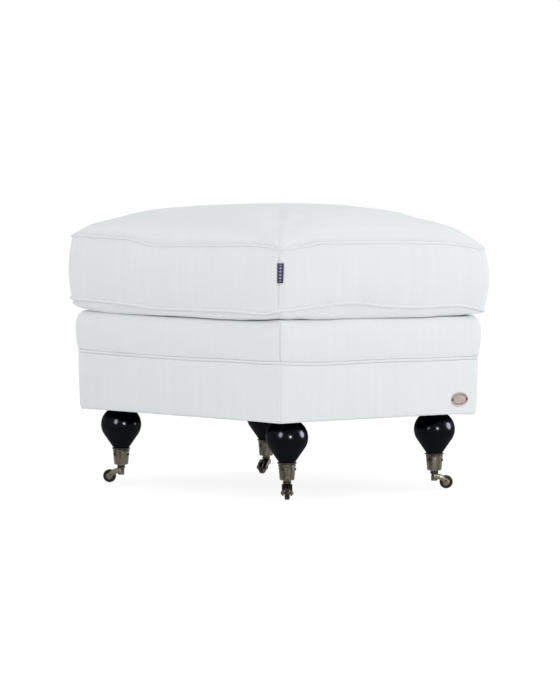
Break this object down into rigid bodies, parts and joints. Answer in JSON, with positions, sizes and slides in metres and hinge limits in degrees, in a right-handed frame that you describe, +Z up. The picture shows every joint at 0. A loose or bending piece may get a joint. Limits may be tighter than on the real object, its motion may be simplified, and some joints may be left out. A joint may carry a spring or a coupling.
{
  "type": "footstool",
  "caption": "Upholstered footstool with a loose piped box cushion on a covered base, turned black legs and swivelling brass cup castors.",
  "frame": {"origin": "on the floor under the middle of the footstool", "axes": "+Z up, +X along the long side towards the end with the oval plate, -Y the front, +Y the back with the zip"},
  "size_m": [0.5562, 0.458, 0.47],
  "materials": {
    "cover_cloth": "fine ribbed white upholstery cloth",
    "deck_cloth": "plain white cotton",
    "dust_cloth": "black non-woven cloth",
    "seat_foam": "upholstery foam",
    "fibre_wadding": "polyester fibre",
    "hessian_cloth": "woven jute cloth",
    "jute_webbing": "woven jute webbing",
    "frame_hardwood": "planed, unfinished",
    "leg_lacquer": "high gloss black lacquer",
    "antique_brass": "antiqued, brushed",
    "castor_wheel_metal": "antiqued, turned",
    "castor_steel": "dull steel",
    "zinc_steel": "zinc plated",
    "blued_steel": "blued",
    "zip_tape": "white woven tape",
    "nickel": "nickel plated",
    "tag_weave": "navy woven ribbon",
    "rose_plate": "satin rose copper"
  },
  "bodies": {
    "base": {"rail_front": "frame_hardwood", "rail_back": "frame_hardwood", "rail_left": "frame_hardwood", "rail_right": "frame_hardwood", "corner_blocks": "frame_hardwood", "corner_block_screws": "zinc_steel", "leg_bolts": "zinc_steel", "leg_t_nuts": "zinc_steel", "webbing_long": "jute_webbing", "webbing_cross": "jute_webbing", "webbing_tacks": "blued_steel", "hessian": "hessian_cloth", "deck_pad": "seat_foam", "edge_roll": "seat_foam", "deck_cover": "deck_cloth", "upper_band_cover": "cover_cloth", "lower_band_cover": "cover_cloth", "base_welt": "cover_cloth", "dust_cover": "dust_cloth", "dust_cover_staples": "zinc_steel", "cup_screws": "antique_brass", "castor_washers": "antique_brass", "badge": "rose_plate", "badge_nails": "rose_plate", "leg_front_left": "leg_lacquer", "castor_cup_front_left": "antique_brass", "leg_front_right": "leg_lacquer", "castor_cup_front_right": "antique_brass", "leg_back_right": "leg_lacquer", "castor_cup_back_right": "antique_brass", "leg_back_left": "leg_lacquer", "castor_cup_back_left": "antique_brass"},
    "cushion": {"cushion_core": "seat_foam", "cushion_wadding": "fibre_wadding", "cushion_cover": "cover_cloth", "cushion_piping_top": "cover_cloth", "cushion_piping_bottom": "cover_cloth", "cushion_zip": "zip_tape", "label_tag": "tag_weave"},
    "zip_slider": {"zip_slider": "nickel"},
    "zip_pull": {"zip_pull": "nickel"},
    "castor_front_left": {"swivel_pin_front_left": "castor_steel", "castor_horn_front_left": "antique_brass", "castor_axle_front_left": "antique_brass"},
    "wheel_front_left": {"castor_wheel_front_left": "castor_wheel_metal"},
    "castor_front_right": {"swivel_pin_front_right": "castor_steel", "castor_horn_front_right": "antique_brass", "castor_axle_front_right": "antique_brass"},
    "wheel_front_right": {"castor_wheel_front_right": "castor_wheel_metal"},
    "castor_back_right": {"swivel_pin_back_right": "castor_steel", "castor_horn_back_right": "antique_brass", "castor_axle_back_right": "antique_brass"},
    "wheel_back_right": {"castor_wheel_back_right": "castor_wheel_metal"},
    "castor_back_left": {"swivel_pin_back_left": "castor_steel", "castor_horn_back_left": "antique_brass", "castor_axle_back_left": "antique_brass"},
    "wheel_back_left": {"castor_wheel_back_left": "castor_wheel_metal"}
  },
  "joints": [
    {"name": "cushion_lift", "type": "slide", "parent": "base", "child": "cushion", "axis": [0, 0, 1], "range_m": [0, 0.2]},
    {"name": "zip_slide", "type": "slide", "parent": "cushion", "child": "zip_slider", "axis": [-1, 0, 0], "range_m": [0, 0.363]},
    {"name": "zip_pull_swing", "type": "hinge", "parent": "zip_slider", "child": "zip_pull", "pos_m": [0.1815, 0.2274, 0.3524], "axis": [1, 0, 0], "range_deg": [0, 150]},
    {"name": "swivel_front_left", "type": "hinge", "parent": "base", "child": "castor_front_left", "pos_m": [-0.216, -0.159, 0.03], "axis": [0, 0, 1], "continuous": true},
    {"name": "roll_front_left", "type": "hinge", "parent": "castor_front_left", "child": "wheel_front_left", "pos_m": [-0.22843, -0.17403, 0.011], "axis": [0.7705, -0.6374, 0], "continuous": true},
    {"name": "swivel_front_right", "type": "hinge", "parent": "base", "child": "castor_front_right", "pos_m": [0.216, -0.159, 0.03], "axis": [0, 0, 1], "continuous": true},
    {"name": "roll_front_right", "type": "hinge", "parent": "castor_front_right", "child": "wheel_front_right", "pos_m": [0.23103, -0.17143, 0.011], "axis": [0.6374, 0.7705, 0], "continuous": true},
    {"name": "swivel_back_right", "type": "hinge", "parent": "base", "child": "castor_back_right", "pos_m": [0.216, 0.159, 0.03], "axis": [0, 0, 1], "continuous": true},
    {"name": "roll_back_right", "type": "hinge", "parent": "castor_back_right", "child": "wheel_back_right", "pos_m": [0.22843, 0.17403, 0.011], "axis": [-0.7705, 0.6374, 0], "continuous": true},
    {"name": "swivel_back_left", "type": "hinge", "parent": "base", "child": "castor_back_left", "pos_m": [-0.216, 0.159, 0.03], "axis": [0, 0, 1], "continuous": true},
    {"name": "roll_back_left", "type": "hinge", "parent": "castor_back_left", "child": "wheel_back_left", "pos_m": [-0.20613, 0.14218, 0.011], "axis": [0.8625, 0.506, 0], "continuous": true}
  ]
}
